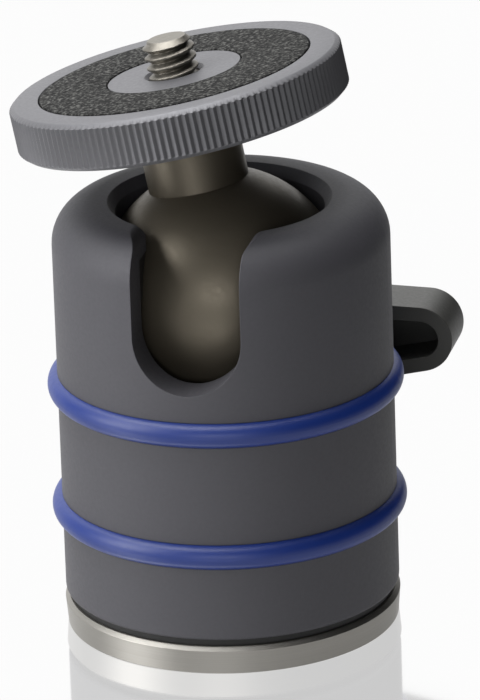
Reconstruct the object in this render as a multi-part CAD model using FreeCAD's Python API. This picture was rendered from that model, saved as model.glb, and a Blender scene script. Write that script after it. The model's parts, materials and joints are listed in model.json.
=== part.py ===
import FreeCAD, Part
import math
import os

# Tripod ball head: a notched housing with a 30 mm class ball, a clamp lever at the back,
# a jam disc on a 1/4 inch camera stud and a turning base with a 3/8 inch thread.
# Millimetres. Z is up, the origin is the mouth of the tripod thread, and the notch faces -Y.

V = FreeCAD.Vector
X_AXIS = V(1, 0, 0)
Y_AXIS = V(0, 1, 0)
Z_AXIS = V(0, 0, 1)

# Fit gaps between pieces
RUN_GAP = 0.1
SEAT_GAP = 0.15
THREAD_GAP = 0.05

# Base, which stays still while the housing turns on it
BASE_FOOT_R = 20.85
BASE_RIM_R = 21.1
BASE_TOP_Z = 3.5
BASE_BEVEL = 0.5
TRIPOD_THREAD_R = 4.80
HUB_R = 8.8
HUB_TOP_Z = 12.6
RING_R = 20.3
RING_HOLE_R = 9.3
RING_TOP_Z = 4.33
PAN_WASHER_R = 13.0
PAN_WASHER_T = 0.5
KEEPER_R = 13.2
KEEPER_T = 1.8
KEEPER_HOLE_R = 5.1
KEEPER_SCREW_COUNT = 3
KEEPER_SCREW_PITCH_R = 6.95
KEEPER_SCREW_R = 1.2
KEEPER_SCREW_HEAD_R = 1.85
KEEPER_SCREW_HEAD_H = 1.4
KEEPER_SCREW_DEPTH = 4.5
HEX_DEPTH = 0.9

# Housing
HOUSING_R = 21.0
HOUSING_BOTTOM_Z = 4.38
HOUSING_TOP_Z = 55.0
HOUSING_FOOT_ROUND = 0.5
SHOULDER_ROUND = 5.2
MOUTH_R = 13.95
LIP_R = 13.0
LIP_Z = 53.7
BORE_R = 16.2
BORE_TOP_Z = 51.6
NOTCH_HALF_W = 6.8
NOTCH_FLOOR_CENTRE_Z = 43.3
NOTCH_FLARE_R = 1.4

# Rubber rings round the housing
O_RING_A = 1.62
O_RING_CENTRE_R = 20.63
O_RING_GAP = 0.02
O_RING_LOW_Z = 15.47
O_RING_HIGH_Z = 31.43

# Plug that closes the housing from below, with the ledge that carries the cup springs
PLUG_R = 16.15
PLUG_FLOOR_Z = 12.0
PLUG_LEDGE_Z = 17.0
PLUG_LEDGE_R = 13.6

# Ball, neck and camera stud, measured along the neck axis from the ball's centre
BALL_CENTRE = V(0, 0, 43.15)
BALL_R = 15.3
LEAN_DEG = 11.24
LEAN_HEADING_DEG = 170.84
NECK_R = 6.3
NECK_TOP = 21.5
NECK_TOP_CHAMFER = 0.4
SPIGOT_R = 4.2
SPIGOT_BOTTOM = 7.0
NECK_SCREW_R = 2.5
NECK_SCREW_TOP = 11.0
NECK_SCREW_HEAD_R = 4.2
NECK_SCREW_HEAD_TOP = -9.0
NECK_SCREW_HEAD_BOTTOM = -13.6
STUD_R = 3.175
STUD_ROOT_R = 2.95
STUD_BOTTOM = 12.5
STUD_TOP = 32.7
STUD_CHAMFER = 0.55

# Camera disc, its pad and the washer it turns on
DISC_WASHER_R = 6.0
DISC_WASHER_TOP = 22.15
DISC_BOTTOM = 22.24
DISC_TOP = 28.26
DISC_R = 20.92
DISC_FACE_R = 20.25
DISC_FOOT_R = 20.25
DISC_CHAMFER = 0.55
DISC_BORE_R = 3.25
DISC_BORE_MOUTH_R = 3.75
DISC_RELIEF_R = 17.5
DISC_RELIEF_HUB_R = 7.6
DISC_RELIEF_DEPTH = 0.95
PAD_OUTER_R = 17.18
PAD_INNER_R = 8.37
PAD_T = 1.3
PAD_PROUD = 0.12
PAD_GAP = 0.03

# Seats that hold the ball
SEAT_RING_BOTTOM_Z = 46.3
SEAT_RING_REACH = 0.3
CUP_R = 16.05
CUP_BOTTOM_Z = 20.0
CUP_TOP_Z = 35.5
CUP_HOLE_R = 8.0
SPRING_OUTER_R = 15.9
SPRING_INNER_R = 13.9
SPRING_T = 0.45
SPRING_RISE = 0.85
SPRING_COUNT = 2

# Clamp screw, plunger and lever, on an axis parallel to Y at the back
CLAMP_Z = 27.0
CLAMP_SCREW_R = 2.75
CLAMP_SCREW_TIP_Y = 16.13
CLAMP_SCREW_END_Y = 27.6
CLAMP_FLAT = 2.2
BUSH_R = 4.2
BUSH_IN_Y = 16.3
BUSH_OUT_Y = 18.8
PLUNGER_R = 2.7
PLUNGER_TIP_R = 1.0
PLUNGER_HEADROOM = 0.4
PLUNGER_TIP_Y = 11.2
PLUNGER_CONE_Y = 12.9
PLUNGER_END_Y = 16.08
LEVER_FRONT_Y = 23.2
LEVER_BACK_Y = 31.2
LEVER_HUB_R = 6.7
LEVER_TIP_R = 4.3
LEVER_TIP_X = 19.9
LEVER_WALL = 1.85
LEVER_POCKET_START_X = 9.3
LEVER_POCKET_DEPTH = 6.4
LEVER_EDGE_ROUND = 0.4
LEVER_REST_DEG = -5.3
LEVER_SCREW_R = 1.5
LEVER_SCREW_HEAD_R = 2.6
LEVER_SCREW_HEAD_H = 1.6
LEVER_SCREW_LENGTH = 6.0
LEVER_WASHER_R = 3.1
LEVER_WASHER_T = 0.4
LEVER_SINK_R = 3.4
LEVER_SINK_DEPTH = 2.4

# Drag plunger at the back, level with the ball's centre
DRAG_HOLE_R = 2.6
DRAG_PAD_R = 2.4
DRAG_PAD_OUT_Y = 17.3
DRAG_SPRING_R = 1.7
DRAG_SPRING_WIRE_R = 0.2
DRAG_SPRING_TURNS = 3
DRAG_GRUB_IN_Y = 19.0
DRAG_GRUB_OUT_Y = 20.7
DRAG_GRUB_R = 2.55

SLACK = 2.0
BIG = 60.0


def lean_direction():
    """Unit vector along the neck at rest."""
    lean = math.radians(LEAN_DEG)
    heading = math.radians(LEAN_HEADING_DEG)
    flat = math.sin(lean)
    return V(flat * math.cos(heading), flat * math.sin(heading), math.cos(lean))


def on_neck(shape):
    """Carry a shape built round +Z at the ball's centre to the leaning neck axis."""
    placed = shape.copy()
    placed.Placement = FreeCAD.Placement(BALL_CENTRE, FreeCAD.Rotation(Z_AXIS, lean_direction()))
    return placed


def upright(radius, low, high):
    """Round bar on the Z axis."""
    return Part.makeCylinder(radius, high - low, V(0, 0, low))


def tube(outer, inner, low, high):
    return upright(outer, low, high).cut(upright(inner, low - SLACK, high + SLACK))


def rearward(radius, near, far, height):
    """Round bar that points to the back, along Y."""
    return Part.makeCylinder(radius, far - near, V(0, near, height), Y_AXIS)


def lathe(points):
    """Solid of revolution round Z from (radius, height) points."""
    wire = Part.makePolygon([V(r, 0, z) for r, z in points + points[:1]])
    return Part.Face(wire).revolve(V(0, 0, 0), Z_AXIS, 360)


def hexagon(across_flats, depth):
    """Hexagonal bar standing on the XY plane."""
    corner_r = across_flats / math.sqrt(3)
    corners = []
    for side in range(7):
        angle = math.radians(60 * side)
        corners.append(V(corner_r * math.cos(angle), corner_r * math.sin(angle), 0))
    return Part.Face(Part.makePolygon(corners)).extrude(V(0, 0, depth))


def ball_space(gap):
    """Sphere that a seat is cut with."""
    return Part.makeSphere(BALL_R + gap, BALL_CENTRE)


def notch_cutter(half_width):
    """U-shaped slot from the front wall to the mouth."""
    channel = Part.makeBox(2 * half_width, BIG, BIG, V(-half_width, -BIG, NOTCH_FLOOR_CENTRE_Z))
    floor = Part.makeCylinder(half_width, BIG, V(0, 0, NOTCH_FLOOR_CENTRE_Z), V(0, -1, 0))
    return channel.fuse(floor)


def notch_flare():
    """Extra width at the top of the notch, which leaves its two corners rounded."""
    round_z = HOUSING_TOP_Z - NOTCH_FLARE_R
    half_width = NOTCH_HALF_W + NOTCH_FLARE_R
    flare = Part.makeBox(2 * half_width, BIG, BIG, V(-half_width, -BIG, round_z))
    for x in (-half_width, half_width):
        flare = flare.cut(Part.makeCylinder(NOTCH_FLARE_R, BIG, V(x, 0, round_z), V(0, -1, 0)))
    return flare


def base_disc():
    outline = [
        (0, 0),
        (BASE_FOOT_R, 0),
        (BASE_RIM_R, BASE_TOP_Z - BASE_BEVEL),
        (BASE_RIM_R - BASE_BEVEL, BASE_TOP_Z),
        (HUB_R, BASE_TOP_Z),
        (HUB_R, HUB_TOP_Z),
        (0, HUB_TOP_Z),
    ]
    body = lathe(outline)
    thread = upright(TRIPOD_THREAD_R, -SLACK, HUB_TOP_Z + SLACK)
    body = body.cut(thread)
    for x, y in keeper_screw_spots():
        hole_bottom = V(x, y, HUB_TOP_Z - KEEPER_SCREW_DEPTH)
        body = body.cut(Part.makeCylinder(KEEPER_SCREW_R + RUN_GAP / 4, BIG, hole_bottom))
    return body


def base_ring():
    return tube(RING_R, RING_HOLE_R, BASE_TOP_Z, RING_TOP_Z)


def keeper_screw_spots():
    spots = []
    for index in range(KEEPER_SCREW_COUNT):
        angle = 2 * math.pi * index / KEEPER_SCREW_COUNT
        x = KEEPER_SCREW_PITCH_R * math.cos(angle)
        y = KEEPER_SCREW_PITCH_R * math.sin(angle)
        spots.append((x, y))
    return spots


def keeper_plate():
    plate = tube(KEEPER_R, KEEPER_HOLE_R, HUB_TOP_Z, HUB_TOP_Z + KEEPER_T)
    for x, y in keeper_screw_spots():
        plate = plate.cut(Part.makeCylinder(KEEPER_SCREW_R + RUN_GAP, BIG, V(x, y, 0)))
    return plate


def keeper_screws():
    screws = []
    plate_top = HUB_TOP_Z + KEEPER_T
    for x, y in keeper_screw_spots():
        shank_bottom = HUB_TOP_Z - KEEPER_SCREW_DEPTH + RUN_GAP
        shank = Part.makeCylinder(KEEPER_SCREW_R, plate_top - shank_bottom, V(x, y, shank_bottom))
        head = Part.makeCylinder(KEEPER_SCREW_HEAD_R, KEEPER_SCREW_HEAD_H, V(x, y, plate_top))
        socket = hexagon(KEEPER_SCREW_R * 1.6, BIG)
        socket.translate(V(x, y, plate_top + KEEPER_SCREW_HEAD_H - HEX_DEPTH))
        screws.append(shank.fuse(head).cut(socket))
    return Part.makeCompound(screws)


def pan_washer():
    return tube(PAN_WASHER_R, HUB_R + RUN_GAP, PLUG_FLOOR_Z, PLUG_FLOOR_Z + PAN_WASHER_T)


def bottom_plug():
    floor = tube(PLUG_R, HUB_R + RUN_GAP, HOUSING_BOTTOM_Z, PLUG_FLOOR_Z)
    ledge = tube(PLUG_R, PLUG_LEDGE_R, PLUG_FLOOR_Z, PLUG_LEDGE_Z)
    return floor.fuse(ledge).removeSplitter()


def housing_blank():
    """Turned outside and stepped bore, with the large round of the shoulder."""
    z_round = HOUSING_TOP_Z - SHOULDER_ROUND
    r_round = HOUSING_R - SHOULDER_ROUND
    half = math.sqrt(0.5)
    foot = HOUSING_FOOT_ROUND
    shoulder = Part.Arc(
        V(HOUSING_R, 0, z_round),
        V(r_round + SHOULDER_ROUND * half, 0, z_round + SHOULDER_ROUND * half),
        V(r_round, 0, HOUSING_TOP_Z),
    ).toShape()
    foot_round = Part.Arc(
        V(HOUSING_R - foot, 0, HOUSING_BOTTOM_Z),
        V(HOUSING_R - foot + foot * half, 0, HOUSING_BOTTOM_Z + foot - foot * half),
        V(HOUSING_R, 0, HOUSING_BOTTOM_Z + foot),
    ).toShape()
    inside = [
        V(r_round, 0, HOUSING_TOP_Z),
        V(MOUTH_R, 0, HOUSING_TOP_Z),
        V(LIP_R, 0, LIP_Z),
        V(LIP_R, 0, BORE_TOP_Z),
        V(BORE_R, 0, BORE_TOP_Z),
        V(BORE_R, 0, HOUSING_BOTTOM_Z),
        V(HOUSING_R - foot, 0, HOUSING_BOTTOM_Z),
    ]
    wall = Part.makeLine(V(HOUSING_R, 0, HOUSING_BOTTOM_Z + foot), V(HOUSING_R, 0, z_round))
    edges = [foot_round, wall, shoulder] + Part.makePolygon(inside).Edges
    return Part.Face(Part.Wire(edges)).revolve(V(0, 0, 0), Z_AXIS, 360)


def housing():
    body = housing_blank()
    body = body.cut(notch_cutter(NOTCH_HALF_W)).cut(notch_flare())
    for ring_z in (O_RING_LOW_Z, O_RING_HIGH_Z):
        body = body.cut(Part.makeTorus(O_RING_CENTRE_R, O_RING_A + O_RING_GAP, V(0, 0, ring_z)))
    body = body.cut(rearward(CLAMP_SCREW_R + RUN_GAP, MOUTH_R, BIG, CLAMP_Z))
    body = body.cut(rearward(BUSH_R, MOUTH_R, BUSH_OUT_Y, CLAMP_Z))
    body = body.cut(rearward(DRAG_HOLE_R, MOUTH_R, BIG, BALL_CENTRE.z))
    return body


def o_ring(height):
    return Part.makeTorus(O_RING_CENTRE_R, O_RING_A, V(0, 0, height))


def upper_seat_ring():
    ring = tube(BORE_R, LIP_R - SEAT_RING_REACH, SEAT_RING_BOTTOM_Z, BORE_TOP_Z)
    return ring.cut(ball_space(SEAT_GAP)).cut(notch_cutter(NOTCH_HALF_W + RUN_GAP))


def cup_ramp():
    """Cone seat in the cup's skirt that the plunger tip climbs."""
    cone_length = PLUNGER_CONE_Y - PLUNGER_TIP_Y
    cone_start = V(0, PLUNGER_TIP_Y - RUN_GAP, CLAMP_Z)
    cone = Part.makeCone(PLUNGER_TIP_R, PLUNGER_R, cone_length, cone_start, Y_AXIS)
    channel = rearward(PLUNGER_R + RUN_GAP, PLUNGER_CONE_Y - 2 * RUN_GAP, CUP_R + SLACK, CLAMP_Z)
    lower_cone = cone.copy()
    lower_cone.translate(V(0, 0, -SEAT_GAP))
    raised = channel.copy()
    raised.translate(V(0, 0, PLUNGER_HEADROOM))
    return cone.fuse([lower_cone, channel, raised])


def clamp_cup():
    body = tube(CUP_R, CUP_HOLE_R, CUP_BOTTOM_Z, CUP_TOP_Z)
    return body.cut(ball_space(SEAT_GAP)).cut(cup_ramp())


def cup_springs():
    """Two coned spring washers, rim to rim."""
    springs = []
    bottom = PLUG_LEDGE_Z
    for index in range(SPRING_COUNT):
        inner_lift = SPRING_RISE * (index % 2)
        outer_lift = SPRING_RISE - inner_lift
        profile = [
            (SPRING_INNER_R, bottom + inner_lift),
            (SPRING_OUTER_R, bottom + outer_lift),
            (SPRING_OUTER_R, bottom + outer_lift + SPRING_T),
            (SPRING_INNER_R, bottom + inner_lift + SPRING_T),
        ]
        springs.append(lathe(profile))
        bottom += SPRING_RISE + SPRING_T
    return Part.makeCompound(springs)


def thrust_plunger():
    cone_length = PLUNGER_CONE_Y - PLUNGER_TIP_Y
    cone = Part.makeCone(PLUNGER_TIP_R, PLUNGER_R, cone_length, V(0, PLUNGER_TIP_Y, CLAMP_Z), Y_AXIS)
    return cone.fuse(rearward(PLUNGER_R, PLUNGER_CONE_Y, PLUNGER_END_Y, CLAMP_Z))


def screw_bush():
    body = rearward(BUSH_R, BUSH_IN_Y, BUSH_OUT_Y, CLAMP_Z)
    return body.cut(rearward(CLAMP_SCREW_R + THREAD_GAP, MOUTH_R, BIG, CLAMP_Z))


def flat_sided(radius, half_flat, near, far):
    """Bar along Y with two flats, for driving the screw."""
    bar = rearward(radius, near, far, CLAMP_Z)
    slab = Part.makeBox(BIG, far - near, 2 * half_flat, V(-BIG / 2, near, CLAMP_Z - half_flat))
    return bar.common(slab)


def lever_turned(shape):
    """Turn a shape built with its arm along +X to the lever's rest angle."""
    turned = shape.copy()
    turned.rotate(V(0, 0, CLAMP_Z), Y_AXIS, LEVER_REST_DEG)
    return turned


def clamp_screw():
    round_part = rearward(CLAMP_SCREW_R, CLAMP_SCREW_TIP_Y, LEVER_FRONT_Y, CLAMP_Z)
    drive = flat_sided(CLAMP_SCREW_R, CLAMP_FLAT, LEVER_FRONT_Y, CLAMP_SCREW_END_Y)
    tapped = rearward(LEVER_SCREW_R + THREAD_GAP, lever_screw_tip_y() - SLACK / 2, BIG, CLAMP_Z)
    return lever_turned(round_part.fuse(drive).cut(tapped))


def rounded_arm(start_x, start_r, end_x, end_r, near, far):
    """Bar along Y whose outline is two circles joined by their tangents."""
    slope = math.asin((start_r - end_r) / (end_x - start_x))
    sin_a, cos_a = math.sin(slope), math.cos(slope)

    def rim(x, radius, along, up):
        return V(x + radius * along, near, CLAMP_Z + radius * up)

    top_start = rim(start_x, start_r, sin_a, cos_a)
    top_end = rim(end_x, end_r, sin_a, cos_a)
    low_start = rim(start_x, start_r, sin_a, -cos_a)
    low_end = rim(end_x, end_r, sin_a, -cos_a)
    edges = [
        Part.makeLine(top_start, top_end),
        Part.Arc(top_end, rim(end_x, end_r, 1, 0), low_end).toShape(),
        Part.makeLine(low_end, low_start),
        Part.Arc(low_start, rim(start_x, start_r, -1, 0), top_start).toShape(),
    ]
    return Part.Face(Part.Wire(edges)).extrude(V(0, far - near, 0))


def lever_half_height(x):
    """Half height of the arm at a distance from the hub."""
    return LEVER_HUB_R - (LEVER_HUB_R - LEVER_TIP_R) * x / LEVER_TIP_X


def lever():
    body = rounded_arm(0, LEVER_HUB_R, LEVER_TIP_X, LEVER_TIP_R, LEVER_FRONT_Y, LEVER_BACK_Y)
    back_edges = [edge for edge in body.Edges if edge.BoundBox.YMin > LEVER_BACK_Y - 0.01]
    body = body.makeFillet(LEVER_EDGE_ROUND, back_edges)
    pocket_r = lever_half_height(LEVER_POCKET_START_X) - LEVER_WALL
    pocket_end = LEVER_FRONT_Y + LEVER_POCKET_DEPTH
    tip_pocket_r = LEVER_TIP_R - LEVER_WALL
    pocket = rounded_arm(
        LEVER_POCKET_START_X, pocket_r, LEVER_TIP_X, tip_pocket_r, LEVER_FRONT_Y - SLACK, pocket_end
    )
    drive_end = CLAMP_SCREW_END_Y + THREAD_GAP
    drive = flat_sided(
        CLAMP_SCREW_R + THREAD_GAP, CLAMP_FLAT + THREAD_GAP, LEVER_FRONT_Y - SLACK, drive_end
    )
    sink = rearward(LEVER_SINK_R, LEVER_BACK_Y - LEVER_SINK_DEPTH, BIG, CLAMP_Z)
    screw_hole = rearward(LEVER_SCREW_R + RUN_GAP, LEVER_FRONT_Y, BIG, CLAMP_Z)
    return lever_turned(body.cut(pocket).cut(drive).cut(sink).cut(screw_hole))


def lever_washer():
    near = LEVER_BACK_Y - LEVER_SINK_DEPTH
    body = rearward(LEVER_WASHER_R, near, near + LEVER_WASHER_T, CLAMP_Z)
    return body.cut(rearward(LEVER_SCREW_R + RUN_GAP, near - SLACK, BIG, CLAMP_Z))


def lever_screw_head_y():
    return LEVER_BACK_Y - LEVER_SINK_DEPTH + LEVER_WASHER_T


def lever_screw_tip_y():
    return lever_screw_head_y() - LEVER_SCREW_LENGTH


def facing_back(shape, far, height):
    """Lay a shape built on the XY plane so that its +Z runs along -Y from the back."""
    laid = shape.copy()
    laid.rotate(V(0, 0, 0), X_AXIS, 90)
    laid.translate(V(0, far, height))
    return laid


def lever_screw():
    head_near = lever_screw_head_y()
    head_far = head_near + LEVER_SCREW_HEAD_H
    shank = rearward(LEVER_SCREW_R, lever_screw_tip_y(), head_near, CLAMP_Z)
    head = rearward(LEVER_SCREW_HEAD_R, head_near, head_far, CLAMP_Z)
    socket = facing_back(hexagon(LEVER_SCREW_R * 1.4, HEX_DEPTH), head_far, CLAMP_Z)
    return shank.fuse(head).cut(socket)


def drag_pad():
    body = rearward(DRAG_PAD_R, MOUTH_R, DRAG_PAD_OUT_Y, BALL_CENTRE.z)
    return body.cut(ball_space(SEAT_GAP))


def drag_spring():
    """Small coil between the pad and the grub screw."""
    wire_r = DRAG_SPRING_WIRE_R
    start = DRAG_PAD_OUT_Y + wire_r + THREAD_GAP
    length = DRAG_GRUB_IN_Y - DRAG_PAD_OUT_Y - 2 * (wire_r + THREAD_GAP)
    path = Part.makeHelix(length / DRAG_SPRING_TURNS, length, DRAG_SPRING_R)
    section = Part.Wire(Part.makeCircle(wire_r, V(DRAG_SPRING_R, 0, 0), Y_AXIS))
    coil = Part.Wire(path).makePipeShell([section], True, True)
    coil.rotate(V(0, 0, 0), X_AXIS, -90)
    coil.translate(V(0, start, BALL_CENTRE.z))
    return coil


def drag_grub_screw():
    body = rearward(DRAG_GRUB_R, DRAG_GRUB_IN_Y, DRAG_GRUB_OUT_Y, BALL_CENTRE.z)
    socket = facing_back(hexagon(DRAG_GRUB_R, HEX_DEPTH), DRAG_GRUB_OUT_Y, BALL_CENTRE.z)
    return body.cut(socket)


def neck_on_axis():
    spigot = upright(SPIGOT_R, SPIGOT_BOTTOM, BALL_R)
    start = math.sqrt(BALL_R ** 2 - NECK_R ** 2)
    column = upright(NECK_R, start, NECK_TOP - NECK_TOP_CHAMFER)
    top = Part.makeCone(
        NECK_R, NECK_R - NECK_TOP_CHAMFER, NECK_TOP_CHAMFER, V(0, 0, NECK_TOP - NECK_TOP_CHAMFER)
    )
    return spigot.fuse([column, top]).removeSplitter()


def ball():
    body = Part.makeSphere(BALL_R)
    body = body.cut(upright(NECK_R, math.sqrt(BALL_R ** 2 - NECK_R ** 2), BIG))
    body = body.cut(upright(SPIGOT_R, SPIGOT_BOTTOM, BIG))
    body = body.cut(upright(NECK_SCREW_R + RUN_GAP, NECK_SCREW_HEAD_BOTTOM, BIG))
    sink = upright(NECK_SCREW_HEAD_R + RUN_GAP, -BIG, NECK_SCREW_HEAD_TOP + RUN_GAP)
    return on_neck(body.cut(sink))


def neck():
    body = neck_on_axis()
    body = body.cut(upright(NECK_SCREW_R + RUN_GAP, -BIG, NECK_SCREW_TOP + RUN_GAP))
    return on_neck(body.cut(upright(STUD_ROOT_R, STUD_BOTTOM, BIG)))


def neck_screw():
    shank = upright(NECK_SCREW_R, NECK_SCREW_HEAD_TOP, NECK_SCREW_TOP)
    head = upright(NECK_SCREW_HEAD_R, NECK_SCREW_HEAD_BOTTOM, NECK_SCREW_HEAD_TOP)
    socket = hexagon(NECK_SCREW_HEAD_R, 2 * HEX_DEPTH)
    socket.translate(V(0, 0, NECK_SCREW_HEAD_BOTTOM))
    return on_neck(shank.fuse(head).cut(socket))


def camera_stud():
    root = upright(STUD_ROOT_R, STUD_BOTTOM, DISC_TOP)
    shown = upright(STUD_R, DISC_TOP, STUD_TOP - STUD_CHAMFER)
    tip = Part.makeCone(STUD_R, STUD_R - STUD_CHAMFER, STUD_CHAMFER, V(0, 0, STUD_TOP - STUD_CHAMFER))
    return on_neck(root.fuse([shown, tip]))


def disc_washer():
    return on_neck(tube(DISC_WASHER_R, DISC_BORE_R, NECK_TOP + THREAD_GAP, DISC_WASHER_TOP))


def camera_disc():
    outline = [
        (0, DISC_BOTTOM),
        (DISC_FOOT_R, DISC_BOTTOM),
        (DISC_R, DISC_BOTTOM + DISC_CHAMFER),
        (DISC_R, DISC_TOP - DISC_CHAMFER),
        (DISC_FACE_R, DISC_TOP),
        (0, DISC_TOP),
    ]
    body = lathe(outline)
    body = body.cut(upright(DISC_BORE_R, -BIG, BIG))
    mouth_depth = DISC_BORE_MOUTH_R - DISC_BORE_R
    mouth_bottom = V(0, 0, DISC_TOP - mouth_depth)
    body = body.cut(Part.makeCone(DISC_BORE_R, DISC_BORE_MOUTH_R, mouth_depth, mouth_bottom))
    body = body.cut(tube(PAD_OUTER_R, PAD_INNER_R, DISC_TOP - PAD_T, DISC_TOP + SLACK))
    relief_top = DISC_BOTTOM + DISC_RELIEF_DEPTH
    relief = tube(DISC_RELIEF_R, DISC_RELIEF_HUB_R, DISC_BOTTOM - SLACK, relief_top)
    return on_neck(body.cut(relief))


def disc_pad():
    outer = PAD_OUTER_R - PAD_GAP
    inner = PAD_INNER_R + PAD_GAP
    return on_neck(tube(outer, inner, DISC_TOP - PAD_T, DISC_TOP + PAD_PROUD))


def save(name, shape):
    solid_count = len(shape.Solids)
    print(name, "solids", solid_count, "valid", shape.isValid(), "volume", round(shape.Volume, 2))
    shape.exportStep(os.path.join("parts", name + ".step"))


def main():
    os.makedirs("parts", exist_ok=True)
    save("base_disc", base_disc())
    save("base_ring", base_ring())
    save("keeper_plate", keeper_plate())
    save("keeper_screws", keeper_screws())
    save("pan_washer", pan_washer())
    save("bottom_plug", bottom_plug())
    save("housing", housing())
    save("lower_o_ring", o_ring(O_RING_LOW_Z))
    save("upper_o_ring", o_ring(O_RING_HIGH_Z))
    save("upper_seat_ring", upper_seat_ring())
    save("clamp_cup", clamp_cup())
    save("cup_springs", cup_springs())
    save("thrust_plunger", thrust_plunger())
    save("screw_bush", screw_bush())
    save("clamp_screw", clamp_screw())
    save("lever", lever())
    save("lever_washer", lever_washer())
    save("lever_screw", lever_screw())
    save("drag_pad", drag_pad())
    save("drag_spring", drag_spring())
    save("drag_grub_screw", drag_grub_screw())
    save("neck_screw", neck_screw())
    save("ball", ball())
    save("neck", neck())
    save("camera_stud", camera_stud())
    save("disc_washer", disc_washer())
    save("camera_disc", camera_disc())
    save("disc_pad", disc_pad())


main()
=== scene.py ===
import json
import math

import bpy
from mathutils import Matrix, Vector

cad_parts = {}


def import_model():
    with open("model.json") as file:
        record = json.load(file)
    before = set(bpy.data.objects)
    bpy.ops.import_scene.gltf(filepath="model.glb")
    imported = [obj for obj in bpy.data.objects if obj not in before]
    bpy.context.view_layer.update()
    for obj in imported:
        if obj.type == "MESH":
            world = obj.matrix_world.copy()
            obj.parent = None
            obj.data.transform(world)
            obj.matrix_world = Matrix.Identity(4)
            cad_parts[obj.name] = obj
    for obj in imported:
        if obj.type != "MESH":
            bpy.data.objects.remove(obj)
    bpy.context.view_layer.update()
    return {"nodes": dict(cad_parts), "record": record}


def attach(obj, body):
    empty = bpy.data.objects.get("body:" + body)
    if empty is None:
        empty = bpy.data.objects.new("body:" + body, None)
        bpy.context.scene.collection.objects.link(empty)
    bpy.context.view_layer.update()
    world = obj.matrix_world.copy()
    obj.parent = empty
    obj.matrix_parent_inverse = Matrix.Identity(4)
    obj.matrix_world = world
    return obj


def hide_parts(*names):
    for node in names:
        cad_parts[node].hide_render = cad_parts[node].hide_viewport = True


# Ball head on a glossy white sweep. Metres, in the part's own frame: Z up, notch towards -Y.

MM = 0.001

# Camera of the main view, and how far it is turned about Z from the front
CAMERA_RADIUS = 850.4 * MM
CAMERA_HEIGHT = 348.0 * MM
CAMERA_AZIMUTH_DEG = 13.6
CAMERA_HEADING_DEG = -0.127
CAMERA_PITCH_DEG = 20.216
CAMERA_ROLL_DEG = -1.950
LENS = 374.08
SENSOR = 36.0
CLIP_START = 0.05
CLIP_END = 20.0

# Neck axis at rest
BALL_CENTRE = Vector((0, 0, 43.15 * MM))
LEAN_DEG = 11.24
LEAN_HEADING_DEG = 170.84

# Camera disc and pad, along the neck axis from the ball's centre
DISC_BOTTOM = 22.24 * MM
DISC_TOP = 28.26 * MM
DISC_R = 20.92 * MM
DISC_FACE_R = 20.25 * MM
DISC_EDGE = 0.55 * MM
DISC_CORNER = 0.06 * MM
DISC_BORE_R = 3.25 * MM
DISC_BORE_MOUTH_R = 3.75 * MM
RELIEF_R = 17.5 * MM
RELIEF_HUB_R = 7.6 * MM
RELIEF_DEPTH = 0.95 * MM
KNURL_COUNT = 148
KNURL_DEPTH = 0.26 * MM
KNURL_SAMPLES = 6
KNURL_FADE = 0.12 * MM
KNURL_END_SHARE = 0.6
PAD_OUTER_R = 17.18 * MM
PAD_INNER_R = 8.37 * MM
PAD_T = 1.3 * MM
PAD_PROUD = 0.12 * MM
PAD_GAP = 0.18 * MM
PAD_ROUND = 0.15 * MM
PAD_ROUND_MIDDLE = 0.3
GROOVE_CORNER = 0.05 * MM

# Camera stud with its helical thread, whose crest is given as a share of the pitch
STUD_R = 3.175 * MM
STUD_PITCH = 1.27 * MM
STUD_DEPTH = 0.70 * MM
STUD_LOW = 22.6 * MM
STUD_TOP = 32.7 * MM
STUD_CHAMFER = 0.8 * MM
CREST_HALF_WIDTH = 0.09
ROOT_ROUNDING = 1.15
RINGS_PER_PITCH = 20
STUD_SEGMENTS = 96

# Faces that meet at more than these angles keep a sharp edge
SHARP_DEG = 30.0
STUD_SHARP_DEG = 40.0

LATHE_SEGMENTS = 240

# Grain of the plain surfaces: noise scale, spread of the roughness and depth of the relief
METAL_GRAIN = (2200.0, 0.05, 0.004 * MM)
PLASTIC_GRAIN = (1200.0, 0.05, 0.003 * MM)
RUBBER_GRAIN = (1500.0, 0.04, 0.003 * MM)
GRAIN_DETAIL = 4.0
NOISE_LOW = 0.3
NOISE_HIGH = 0.7

# Radius that each kind of edge seems rounded to
METAL_EDGE = 0.18 * MM
STEEL_EDGE = 0.15 * MM
SOFT_EDGE = 0.1 * MM
STUD_EDGE = 0.08 * MM
KNURL_EDGE = 0.06 * MM
EDGE_SAMPLES = 8

# Circles that a lathe leaves on steel
TURNING_STRETCH = (60.0, 60.0, 9000.0)
TURNING_DETAIL = 3.0
TURNING_SHADE = 0.82
TURNING_DEPTH = 0.006 * MM

# Crumbs and specks of the pad
CRUMB_SCALE = 1100.0
SPECK_SCALE = 2300.0
SPECK_DETAIL = 5.0
SPECK_DARK_BELOW = 0.48
SPECK_LIGHT_ABOVE = 0.72
PAD_ROUGHNESS = 0.95
PAD_SPECULAR = 0.25
PIT_DEPTH = 0.18 * MM
PIT_STRENGTH = 0.9

# Set, laid out as the main camera sees it: X to its right, Y away from it
FLOOR_SIZE = (8.0, 8.0)
FLOOR_DROP = 0.02 * MM
FLOOR_GLOW = 1.0
FLOOR_MIRROR_SHARE = 0.42
FLOOR_MIRROR_ROUGHNESS = 0.06
BACKDROP_SIZE = (6.0, 3.0)
BACKDROP_PLACE = (0, 2.2, 1.2)
BACKDROP_GLOW = 1.18
CARD_SIZE = (0.6, 0.35)
CARD_PLACE = (0.15, 0.02, 0.18)
WORLD_GLOW = 0.18
LIGHT_AIM = (0, 0, 0.045)

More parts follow.
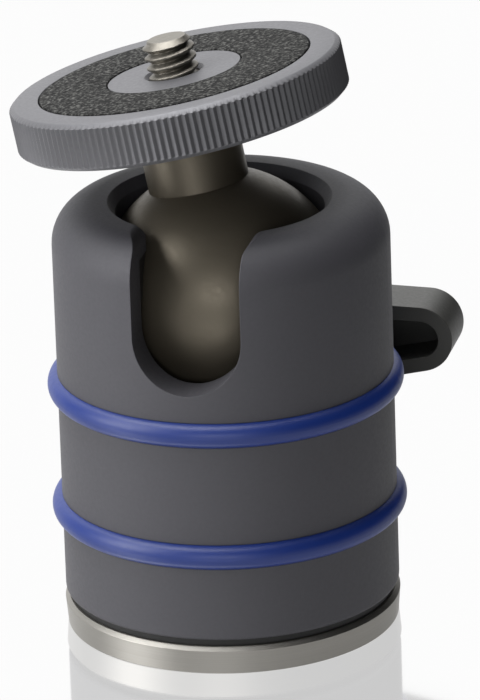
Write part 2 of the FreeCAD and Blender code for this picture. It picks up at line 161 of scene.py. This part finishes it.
# Name, size, power and place of each soft light
LIGHTS = [
    ("overhead", (0.7, 0.7), 11.0, (-0.15, 0.12, 0.75)),
    ("left_key", (0.5, 0.7), 7.5, (-0.80, -0.25, 0.40)),
    ("right_fill", (0.4, 0.6), 0.3, (0.8, -0.15, 0.35)),
    ("front_fill", (0.5, 0.3), 2.2, (-0.15, -1.0, 0.30)),
]


def neck_frame():
    """Matrix from a frame built round +Z at the origin to the leaning neck."""
    lean = math.radians(LEAN_DEG)
    heading = math.radians(LEAN_HEADING_DEG)
    flat = math.sin(lean)
    direction = Vector((flat * math.cos(heading), flat * math.sin(heading), math.cos(lean)))
    turn = Vector((0, 0, 1)).rotation_difference(direction).to_matrix().to_4x4()
    return Matrix.Translation(BALL_CENTRE) @ turn


def mesh_object(name, verts, faces, sharp_deg=SHARP_DEG):
    """Smooth-shaded object that keeps its sharp edges."""
    mesh = bpy.data.meshes.new(name)
    mesh.from_pydata(verts, [], faces)
    mesh.update()
    mesh.shade_smooth()
    mesh.set_sharp_from_angle(angle=math.radians(sharp_deg))
    obj = bpy.data.objects.new(name, mesh)
    bpy.context.scene.collection.objects.link(obj)
    return obj


def ring_faces(ring_count, segments, closed):
    """Quads between rings of points, wrapping round, and from last ring to first when closed."""
    faces = []
    spans = ring_count if closed else ring_count - 1
    for ring in range(spans):
        here = ring * segments
        above = ((ring + 1) % ring_count) * segments
        for seg in range(segments):
            after = (seg + 1) % segments
            faces.append((here + seg, here + after, above + after, above + seg))
    return faces


def lathe(name, profile, segments=LATHE_SEGMENTS, radius_at=None):
    """Closed ring solid from (radius, height) points listed round its section."""
    verts = []
    for index, (radius, height) in enumerate(profile):
        for seg in range(segments):
            angle = 2 * math.pi * seg / segments
            r = radius_at(index, radius, seg) if radius_at else radius
            verts.append((r * math.cos(angle), r * math.sin(angle), height))
    return mesh_object(name, verts, ring_faces(len(profile), segments, True))


def dress(obj, node, body, slot):
    """Let a modelled piece stand for its CAD node, and pair it with its material slot."""
    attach(obj, body)
    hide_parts(node)
    return obj, slot


def camera_disc(frame):
    """Disc with a straight knurl between two plain chamfers, and a groove for the pad."""
    low_knurl = DISC_BOTTOM + DISC_EDGE
    high_knurl = DISC_TOP - DISC_EDGE
    knurl_end_r = DISC_R - KNURL_DEPTH * KNURL_END_SHARE
    profile = [
        (RELIEF_R, DISC_BOTTOM),
        (DISC_FACE_R, DISC_BOTTOM),
        (knurl_end_r, low_knurl - KNURL_FADE),
        (DISC_R, low_knurl),
        (DISC_R, low_knurl + KNURL_FADE),
        (DISC_R, high_knurl - KNURL_FADE),
        (DISC_R, high_knurl),
        (knurl_end_r, high_knurl + KNURL_FADE),
        (DISC_FACE_R + DISC_CORNER, DISC_TOP - DISC_CORNER),
        (DISC_FACE_R - DISC_CORNER, DISC_TOP),
        (PAD_OUTER_R + GROOVE_CORNER, DISC_TOP),
        (PAD_OUTER_R, DISC_TOP - DISC_CORNER),
        (PAD_OUTER_R, DISC_TOP - PAD_T),
        (PAD_INNER_R, DISC_TOP - PAD_T),
        (PAD_INNER_R, DISC_TOP - DISC_CORNER),
        (PAD_INNER_R - GROOVE_CORNER, DISC_TOP),
        (DISC_BORE_MOUTH_R, DISC_TOP),
        (DISC_BORE_R, DISC_TOP - (DISC_BORE_MOUTH_R - DISC_BORE_R)),
        (DISC_BORE_R, DISC_BOTTOM),
        (RELIEF_HUB_R, DISC_BOTTOM),
        (RELIEF_HUB_R, DISC_BOTTOM + RELIEF_DEPTH),
        (RELIEF_R, DISC_BOTTOM + RELIEF_DEPTH),
    ]
    # Places in the list above that are knurled, and how deep
    knurl_share = {3: KNURL_END_SHARE, 4: 1.0, 5: 1.0, 6: KNURL_END_SHARE}

    def radius_at(index, radius, seg):
        if index not in knurl_share:
            return radius
        phase = (seg % KNURL_SAMPLES) / KNURL_SAMPLES
        dip = 0.5 - 0.5 * math.cos(2 * math.pi * phase)
        return radius - KNURL_DEPTH * knurl_share[index] * dip

    disc = lathe("knurled_disc", profile, KNURL_COUNT * KNURL_SAMPLES, radius_at)
    disc.data.transform(frame)
    return dress(disc, "camera_disc", "disc", "disc_grey")


def disc_pad(frame):
    """Flat ring with rounded top corners, let into the disc with a fine gap on both sides."""
    low = DISC_TOP - PAD_T
    top = DISC_TOP + PAD_PROUD
    outer = PAD_OUTER_R - PAD_GAP
    inner = PAD_INNER_R + PAD_GAP
    middle = PAD_ROUND * PAD_ROUND_MIDDLE
    profile = [
        (outer, low),
        (outer, top - PAD_ROUND),
        (outer - middle, top - middle),
        (outer - PAD_ROUND, top),
        (inner + PAD_ROUND, top),
        (inner + middle, top - middle),
        (inner, top - PAD_ROUND),
        (inner, low),
    ]
    pad = lathe("grip_pad", profile)
    pad.data.transform(frame)
    return dress(pad, "disc_pad", "disc", "pad_cork_rubber")


def thread_radius(phase):
    """Radius of the thread at a share of one pitch, with flat crests and rounded roots."""
    slope = (abs(phase - 0.5) - CREST_HALF_WIDTH) / (0.5 - CREST_HALF_WIDTH)
    climb = min(1.0, max(0.0, slope))
    rounded = 1 - (1 - climb) ** ROOT_ROUNDING
    return STUD_R - STUD_DEPTH * rounded


def camera_stud(frame):
    """Rod whose rings follow the thread's helix, closed by a flat chamfered tip."""
    verts = []
    ring_count = round((STUD_TOP - STUD_LOW) / STUD_PITCH * RINGS_PER_PITCH) + 1
    for ring in range(ring_count):
        height = STUD_LOW + (STUD_TOP - STUD_LOW) * ring / (ring_count - 1)
        limit = STUD_R - max(0.0, STUD_CHAMFER - (STUD_TOP - height))
        for seg in range(STUD_SEGMENTS):
            turn = seg / STUD_SEGMENTS
            phase = (height / STUD_PITCH - turn) % 1.0
            r = min(limit, thread_radius(phase))
            angle = 2 * math.pi * turn
            verts.append((r * math.cos(angle), r * math.sin(angle), height))
    faces = ring_faces(ring_count, STUD_SEGMENTS, False)
    faces.append(tuple(reversed(range(STUD_SEGMENTS))))
    last = (ring_count - 1) * STUD_SEGMENTS
    faces.append(tuple(range(last, last + STUD_SEGMENTS)))
    stud = mesh_object("threaded_stud", verts, faces, STUD_SHARP_DEG)
    stud.data.transform(frame)
    return dress(stud, "camera_stud", "ball_assembly", "stud_steel")


def shader(name):
    """New material with its node tree and main shader."""
    material = bpy.data.materials.new(name)
    material.use_nodes = True
    tree = material.node_tree
    return material, tree, tree.nodes["Principled BSDF"]


def own_coordinates(tree):
    """The piece's own coordinates, so that a pattern rides with it."""
    return tree.nodes.new("ShaderNodeTexCoord").outputs["Object"]


def noise_on(tree, coords, scale, detail):
    """Soft noise over the coordinates."""
    noise = tree.nodes.new("ShaderNodeTexNoise")
    noise.inputs["Scale"].default_value = scale
    noise.inputs["Detail"].default_value = detail
    tree.links.new(coords, noise.inputs["Vector"])
    return noise.outputs["Fac"]


def two_tone(tree, main, share, first, second):
    """Colour that runs from the first to the second with the share."""
    tint = tree.nodes.new("ShaderNodeMix")
    tint.data_type = "RGBA"
    tint.inputs["A"].default_value = (*first, 1)
    tint.inputs["B"].default_value = (*second, 1)
    tree.links.new(share, tint.inputs["Factor"])
    tree.links.new(tint.outputs["Result"], main.inputs["Base Color"])


def bump_and_edge(tree, main, height, depth, edge_radius):
    """Fine relief over softly rounded edges."""
    bevel = tree.nodes.new("ShaderNodeBevel")
    bevel.samples = EDGE_SAMPLES
    bevel.inputs["Radius"].default_value = edge_radius
    bump = tree.nodes.new("ShaderNodeBump")
    bump.inputs["Distance"].default_value = depth
    tree.links.new(height, bump.inputs["Height"])
    tree.links.new(bevel.outputs["Normal"], bump.inputs["Normal"])
    tree.links.new(bump.outputs["Normal"], main.inputs["Normal"])


def grained(name, colour, metallic, roughness, grain, edge):
    """One colour with a grained roughness, fine relief and soft edges."""
    scale, spread, depth = grain
    material, tree, main = shader(name)
    main.inputs["Base Color"].default_value = (*colour, 1)
    main.inputs["Metallic"].default_value = metallic
    noise = noise_on(tree, own_coordinates(tree), scale, GRAIN_DETAIL)
    span = tree.nodes.new("ShaderNodeMapRange")
    span.inputs["From Min"].default_value = NOISE_LOW
    span.inputs["From Max"].default_value = NOISE_HIGH
    span.inputs["To Min"].default_value = roughness - spread
    span.inputs["To Max"].default_value = roughness + spread
    tree.links.new(noise, span.inputs["Value"])
    tree.links.new(span.outputs["Result"], main.inputs["Roughness"])
    bump_and_edge(tree, main, noise, depth, edge)
    return material


def metal(name, colour, metallic, roughness, edge=METAL_EDGE):
    """Blasted or anodised metal."""
    return grained(name, colour, metallic, roughness, METAL_GRAIN, edge)


def plastic(name, colour, roughness):
    """Moulded or machined plastic."""
    return grained(name, colour, 0.0, roughness, PLASTIC_GRAIN, SOFT_EDGE)


def rubber(name, colour, roughness):
    """Smooth moulded rubber."""
    return grained(name, colour, 0.0, roughness, RUBBER_GRAIN, SOFT_EDGE)


def turned_steel(name, colour, roughness):
    """Steel with the fine circles that a lathe leaves round Z."""
    material, tree, main = shader(name)
    main.inputs["Metallic"].default_value = 1.0
    main.inputs["Roughness"].default_value = roughness
    stretch = tree.nodes.new("ShaderNodeMapping")
    stretch.inputs["Scale"].default_value = TURNING_STRETCH
    tree.links.new(own_coordinates(tree), stretch.inputs["Vector"])
    noise = noise_on(tree, stretch.outputs["Vector"], 1.0, TURNING_DETAIL)
    two_tone(tree, main, noise, [c * TURNING_SHADE for c in colour], colour)
    bump_and_edge(tree, main, noise, TURNING_DEPTH, STEEL_EDGE)
    return material


def granular(name, dark, light):
    """Pressed cork and rubber crumbs: two tones over a pitted surface."""
    material, tree, main = shader(name)
    main.inputs["Roughness"].default_value = PAD_ROUGHNESS
    main.inputs["Specular IOR Level"].default_value = PAD_SPECULAR
    coords = own_coordinates(tree)
    crumbs = tree.nodes.new("ShaderNodeTexVoronoi")
    crumbs.inputs["Scale"].default_value = CRUMB_SCALE
    tree.links.new(coords, crumbs.inputs["Vector"])
    specks = noise_on(tree, coords, SPECK_SCALE, SPECK_DETAIL)
    tone = tree.nodes.new("ShaderNodeMapRange")
    tone.inputs["From Min"].default_value = SPECK_DARK_BELOW
    tone.inputs["From Max"].default_value = SPECK_LIGHT_ABOVE
    tree.links.new(specks, tone.inputs["Value"])
    two_tone(tree, main, tone.outputs["Result"], dark, light)
    pits = tree.nodes.new("ShaderNodeMath")
    pits.operation = "ADD"
    tree.links.new(crumbs.outputs["Distance"], pits.inputs[0])
    tree.links.new(specks, pits.inputs[1])
    bump = tree.nodes.new("ShaderNodeBump")
    bump.inputs["Distance"].default_value = PIT_DEPTH
    bump.inputs["Strength"].default_value = PIT_STRENGTH
    tree.links.new(pits.outputs["Value"], bump.inputs["Height"])
    tree.links.new(bump.outputs["Normal"], main.inputs["Normal"])
    return material


def finishes():
    """One material for each material slot of the part."""
    return {
        "base_steel": turned_steel("base_steel", (0.345, 0.333, 0.308), 0.45),
        # Near pure black, darker than black nylon: partly the nylon's own black and partly painted
        # shade of the gap between housing and base
        "nylon_black": plastic("nylon_black", (0.004, 0.004, 0.004), 0.6),
        "plate_steel": metal("plate_steel", (0.55, 0.55, 0.55), 1.0, 0.35),
        "screw_steel": metal("screw_steel", (0.08, 0.08, 0.085), 0.8, 0.4),
        "plug_aluminium": metal("plug_aluminium", (0.55, 0.55, 0.56), 1.0, 0.4),
        "housing_grey": metal("housing_grey", (0.053, 0.052, 0.060), 0.15, 0.62),
        "ring_blue": rubber("ring_blue", (0.005, 0.022, 0.15), 0.42),
        "cup_acetal": plastic("cup_acetal", (0.03, 0.03, 0.03), 0.5),
        "spring_steel": metal("spring_steel", (0.5, 0.5, 0.5), 1.0, 0.3),
        "brass": metal("brass", (0.75, 0.55, 0.25), 1.0, 0.35),
        "lever_grey": metal("lever_grey", (0.045, 0.045, 0.042), 0.3, 0.45),
        "ball_titanium_grey": metal("ball_titanium_grey", (0.105, 0.091, 0.068), 0.65, 0.42),
        "stud_steel": metal("stud_steel", (0.20, 0.188, 0.165), 1.0, 0.45, STUD_EDGE),
        "disc_grey": metal("disc_grey", (0.105, 0.105, 0.113), 0.45, 0.50, KNURL_EDGE),
        "pad_cork_rubber": granular("pad_cork_rubber", (0.004, 0.004, 0.004), (0.10, 0.10, 0.095)),
    }


def paint(loaded, modelled):
    """Give every CAD node and every modelled piece the material of its slot."""
    materials = finishes()
    slots = {entry["node"]: entry["material_slot"] for entry in loaded["record"]["subparts"]}
    for node, obj in loaded["nodes"].items():
        obj.data.materials.clear()
        obj.data.materials.append(materials[slots[node]])
        obj.data.shade_smooth()
        obj.data.set_sharp_from_angle(angle=math.radians(SHARP_DEG))
    for obj, slot in modelled:
        obj.data.materials.append(materials[slot])


def camera_turn():
    """Turn from the part's front to the side that the main camera looks from."""
    return Matrix.Rotation(math.radians(CAMERA_AZIMUTH_DEG), 4, "Z")


def quarter_turn(axis):
    """Turn of 90 degrees about one of the axes."""
    return Matrix.Rotation(math.radians(90), 4, axis)


def plane(name, size, material):
    """Flat rectangle of the set, round the origin."""
    x, y = size[0] / 2, size[1] / 2
    obj = mesh_object(name, [(-x, -y, 0), (x, -y, 0), (x, y, 0), (-x, y, 0)], [(0, 1, 2, 3)])
    obj.data.materials.append(material)
    return obj


def glow(name, strength):
    """Material that only shines white, with the nodes that it is made of."""
    material = bpy.data.materials.new(name)
    material.use_nodes = True
    tree = material.node_tree
    tree.nodes.clear()
    output = tree.nodes.new("ShaderNodeOutputMaterial")
    emission = tree.nodes.new("ShaderNodeEmission")
    emission.inputs["Strength"].default_value = strength
    tree.links.new(emission.outputs["Emission"], output.inputs["Surface"])
    return material, tree, emission, output


def floor_material():
    """Lit white acrylic: its own glow and a faint mirror."""
    material, tree, emission, output = glow("white_acrylic", FLOOR_GLOW)
    mirror = tree.nodes.new("ShaderNodeBsdfGlossy")
    mirror.inputs["Roughness"].default_value = FLOOR_MIRROR_ROUGHNESS
    mix = tree.nodes.new("ShaderNodeMixShader")
    mix.inputs["Fac"].default_value = FLOOR_MIRROR_SHARE
    tree.links.new(emission.outputs["Emission"], mix.inputs[1])
    tree.links.new(mirror.outputs["BSDF"], mix.inputs[2])
    tree.links.new(mix.outputs["Shader"], output.inputs["Surface"])
    return material


def area_light(name, size, power, place, aim):
    """Soft rectangular light that shines from its place to the aim."""
    data = bpy.data.lights.new(name, "AREA")
    data.shape = "RECTANGLE"
    data.size, data.size_y = size
    data.energy = power
    lamp = bpy.data.objects.new(name, data)
    bpy.context.scene.collection.objects.link(lamp)
    lamp.location = place
    lamp.rotation_euler = (aim - place).to_track_quat("-Z", "Y").to_euler()


def stage_set():
    """Floor, bright backdrop, dark card at the right and soft lights."""
    turn = camera_turn()
    floor = plane("floor", FLOOR_SIZE, floor_material())
    floor.location = (0, 0, -FLOOR_DROP)
    backdrop = plane("backdrop", BACKDROP_SIZE, glow("backdrop_white", BACKDROP_GLOW)[0])
    backdrop.matrix_world = turn @ Matrix.Translation(BACKDROP_PLACE) @ quarter_turn("X")
    card = plane("dark_card", CARD_SIZE, glow("card_black", 0.0)[0])
    card.matrix_world = (
        turn @ Matrix.Translation(CARD_PLACE) @ quarter_turn("Z") @ quarter_turn("X")
    )
    card.visible_camera = False
    for name, size, power, place in LIGHTS:
        area_light(name, size, power, turn @ Vector(place), turn @ Vector(LIGHT_AIM))
    world = bpy.data.worlds.new("studio")
    world.use_nodes = True
    background = world.node_tree.nodes["Background"]
    background.inputs["Color"].default_value = (1, 1, 1, 1)
    background.inputs["Strength"].default_value = WORLD_GLOW
    bpy.context.scene.world = world


def camera():
    """Long lens that looks down at the part, with a slight roll."""
    data = bpy.data.cameras.new("photo_camera")
    data.sensor_fit = "AUTO"
    data.sensor_width = SENSOR
    data.lens = LENS
    data.clip_start = CLIP_START
    data.clip_end = CLIP_END
    obj = bpy.data.objects.new("photo_camera", data)
    bpy.context.scene.collection.objects.link(obj)
    place = camera_turn() @ Vector((0, -CAMERA_RADIUS, CAMERA_HEIGHT))
    heading = math.radians(CAMERA_AZIMUTH_DEG + CAMERA_HEADING_DEG)
    turn = (
        Matrix.Rotation(heading, 4, "Z")
        @ Matrix.Rotation(math.radians(90 - CAMERA_PITCH_DEG), 4, "X")
        @ Matrix.Rotation(math.radians(CAMERA_ROLL_DEG), 4, "Z")
    )
    obj.matrix_world = Matrix.Translation(place) @ turn
    bpy.context.scene.camera = obj


def main():
    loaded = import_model()
    frame = neck_frame()
    modelled = [camera_disc(frame), disc_pad(frame), camera_stud(frame)]
    paint(loaded, modelled)
    stage_set()
    camera()
    scene = bpy.context.scene
    scene.render.engine = "CYCLES"
    scene.view_settings.view_transform = "Standard"
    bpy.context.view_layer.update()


main()
